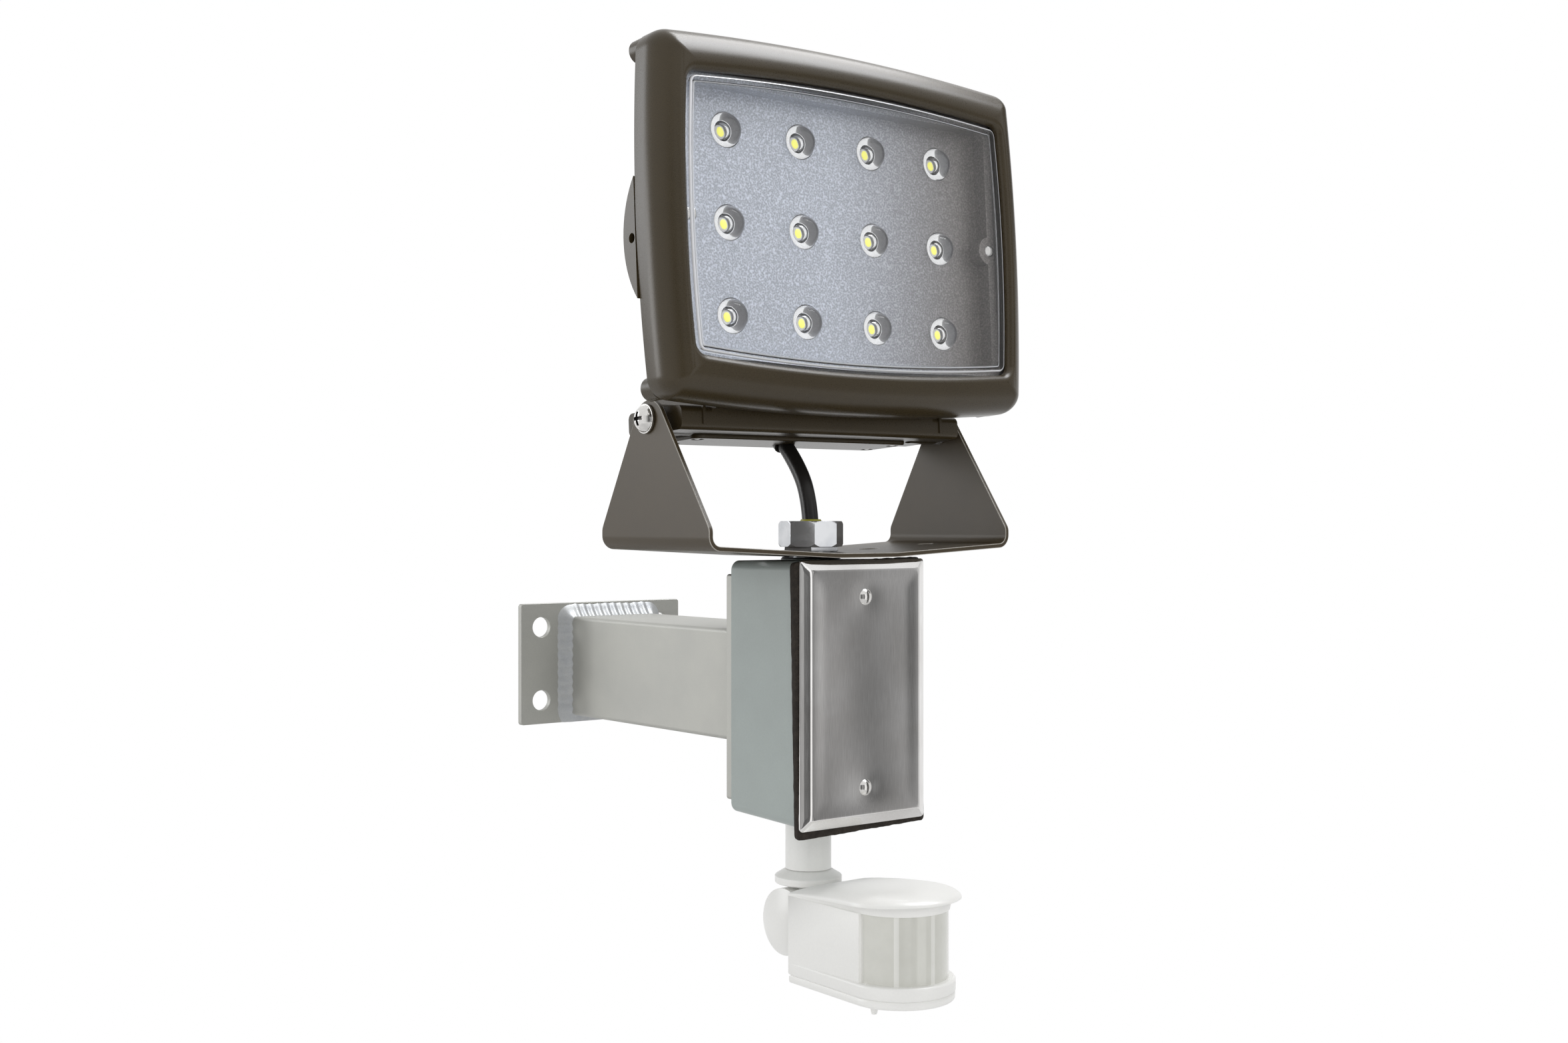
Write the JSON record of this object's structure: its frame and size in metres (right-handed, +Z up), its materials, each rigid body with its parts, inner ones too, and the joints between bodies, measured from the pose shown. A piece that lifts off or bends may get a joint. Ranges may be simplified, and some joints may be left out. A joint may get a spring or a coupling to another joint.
{
  "type": "motion sensor floodlight",
  "caption": "Wall-mounted LED floodlight in a swivelling, tilting yoke on an outlet box at the end of a square arm, with a motion sensor hanging below that pans and tilts.",
  "frame": {"origin": "centre of the four bolt holes on the wall plate's back face", "axes": "+Y into the wall, so the lamp faces -Y; +Z up; +X to the right of somebody facing the lamp"},
  "size_m": [0.21, 0.2567, 0.4173],
  "materials": {
    "mill_aluminium": "mill finish",
    "weld": "as welded",
    "grey_enamel": "die-cast, light grey enamel",
    "stainless": "vertically brushed stainless steel",
    "bright_screw": "bright stainless steel",
    "zinc": "bright zinc plate",
    "foam": "closed-cell foam",
    "seal_yellow": "satin",
    "bronze_cast": "die-cast, dark bronze powder coat",
    "bronze_steel": "dark bronze powder coat on steel",
    "black_rubber": "satin",
    "clear_plastic": "clear polycarbonate",
    "silvered_plastic": "stippled silver coat",
    "clear_optic": "clear moulded optic",
    "phosphor": "yellow phosphor",
    "board_white": "white solder mask on aluminium",
    "board_green": "green solder mask",
    "driver_black": "potted block",
    "sensor_white": "satin white",
    "lens_milky": "milky, faceted inside",
    "caps_orange": "matte",
    "steel_can": "nickel plate"
  },
  "bodies": {
    "wall_arm": {"wall_plate": "mill_aluminium", "weld_bead": "weld", "arm_tube": "mill_aluminium", "end_plate": "mill_aluminium", "end_plate_screws": "bright_screw", "outlet_box": "grey_enamel", "box_gasket": "foam", "box_cover": "stainless", "cover_screws": "bright_screw", "splice_caps": "caps_orange", "hub_washer": "black_rubber", "connector_body": "zinc", "yoke_nut": "zinc", "compression_nut": "zinc", "gland_seal": "seal_yellow", "sensor_stem": "sensor_white"},
    "yoke": {"yoke_bracket": "bronze_steel", "lamp_cord": "black_rubber"},
    "lamp_head": {"bezel": "bronze_cast", "bezel_screws": "bright_screw", "lens": "clear_plastic", "lens_gasket": "black_rubber", "reflector_tray": "silvered_plastic", "tray_screws": "bright_screw", "tray_spacers": "zinc", "led_optics": "clear_optic", "led_emitters": "phosphor", "led_board": "board_white", "rear_housing": "bronze_cast", "led_driver": "driver_black", "wiring_cover": "bronze_cast", "wiring_cover_screws": "bright_screw", "cord_bushing": "black_rubber", "pivot_screws": "bright_screw", "pivot_washers": "bright_screw", "pivot_spacers": "bright_screw"},
    "sensor_knuckle": {"sensor_knuckle": "sensor_white"},
    "sensor_head": {"sensor_case": "sensor_white", "tilt_screw": "bright_screw", "sensor_cap": "sensor_white", "fresnel_lens": "lens_milky", "sensor_base": "sensor_white", "base_screws": "bright_screw", "sensor_board": "board_green", "detector_board": "board_green", "detector_can": "steel_can", "potentiometers": "driver_black"},
    "time_dial": {"time_dial": "sensor_white"},
    "light_dial": {"light_dial": "sensor_white"}
  },
  "joints": [
    {"name": "yoke_swivel", "type": "hinge", "parent": "wall_arm", "child": "yoke", "pos_m": [0.0045, -0.1705, 0.0572], "axis": [0, 0, 1], "range_deg": [-90, 90]},
    {"name": "head_tilt", "type": "hinge", "parent": "yoke", "child": "lamp_head", "pos_m": [0.0045, -0.1655, 0.1166], "axis": [1, 0, 0], "range_deg": [-75, 25], "deforming": ["lamp_cord"]},
    {"name": "sensor_pan", "type": "hinge", "parent": "wall_arm", "child": "sensor_knuckle", "pos_m": [0.0045, -0.1686, -0.0843], "axis": [0, 0, 1], "range_deg": [-85, 85]},
    {"name": "sensor_tilt", "type": "hinge", "parent": "sensor_knuckle", "child": "sensor_head", "pos_m": [0.0045, -0.1686, -0.1069], "axis": [1, 0, 0], "range_deg": [0, 50]},
    {"name": "time_dial_turn", "type": "hinge", "parent": "sensor_head", "child": "time_dial", "pos_m": [-0.004, -0.2236, -0.1301], "axis": [0, 0, 1], "range_deg": [-135, 135]},
    {"name": "light_dial_turn", "type": "hinge", "parent": "sensor_head", "child": "light_dial", "pos_m": [0.013, -0.2236, -0.1301], "axis": [0, 0, 1], "range_deg": [-135, 135]}
  ]
}
